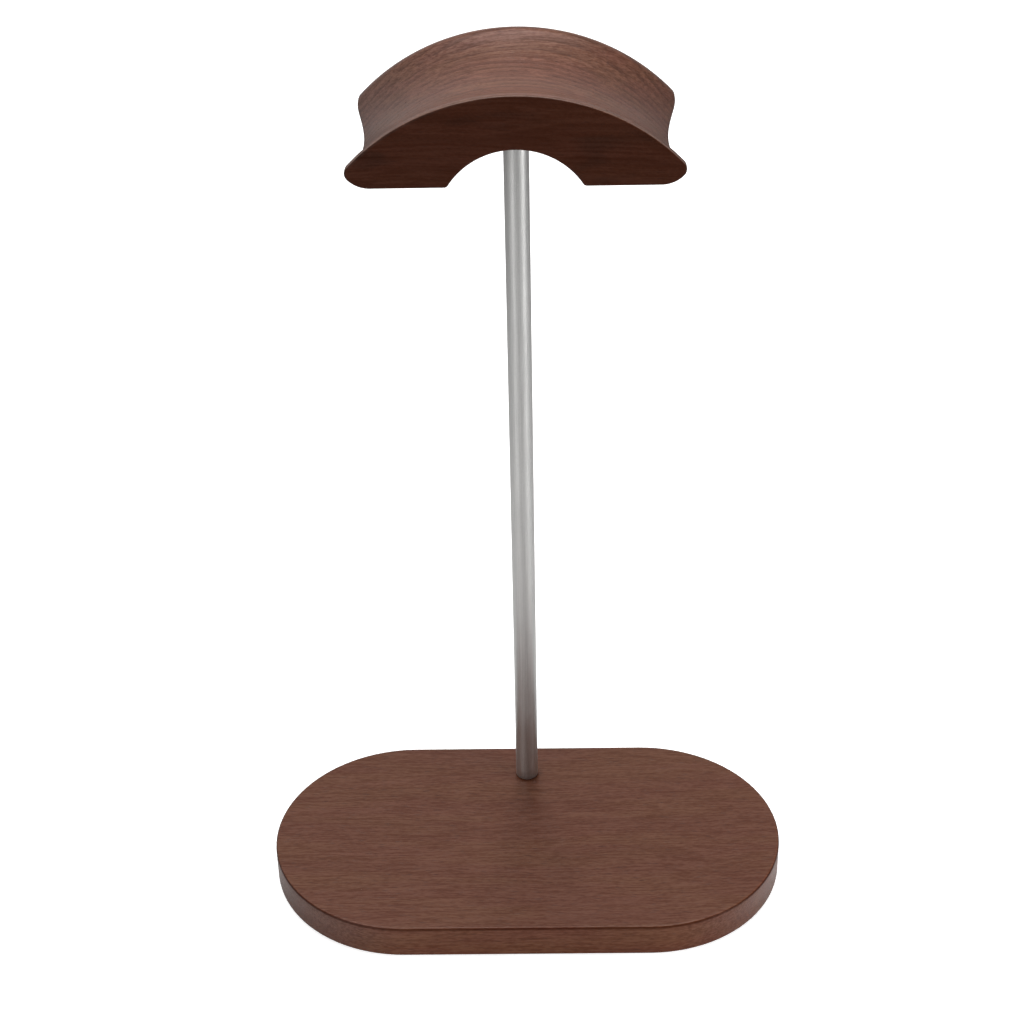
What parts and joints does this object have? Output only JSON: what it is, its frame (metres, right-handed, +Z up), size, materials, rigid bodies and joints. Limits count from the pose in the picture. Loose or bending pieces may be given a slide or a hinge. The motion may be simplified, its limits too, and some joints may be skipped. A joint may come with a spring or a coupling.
{
  "type": "headphone stand",
  "caption": "Desktop headphone stand: rounded wooden base, slim metal rod near its back edge and an arched wooden yoke with a grooved top for the headband.",
  "frame": {"origin": "centre of the base, on the plane the stand rests on", "axes": "+Z up along the rod, +X to the right along the base's length, +Y to the back, so the rod stands at positive Y"},
  "size_m": [0.18, 0.1115, 0.2895],
  "materials": {
    "walnut": "satin oiled walnut, fine open pores, grain along X",
    "satin_aluminium": "bead-blasted and clear anodised",
    "plated_steel": "zinc plated",
    "insert_brass": "turned",
    "pad_rubber": "matt, fine stipple"
  },
  "bodies": {
    "root": {"base_board": "walnut", "base_pad": "pad_rubber", "rod": "satin_aluminium", "yoke": "walnut", "base_screw": "plated_steel", "flat_washer": "plated_steel", "lock_washer": "plated_steel", "yoke_insert": "insert_brass", "yoke_stud": "plated_steel"}
  },
  "joints": []
}
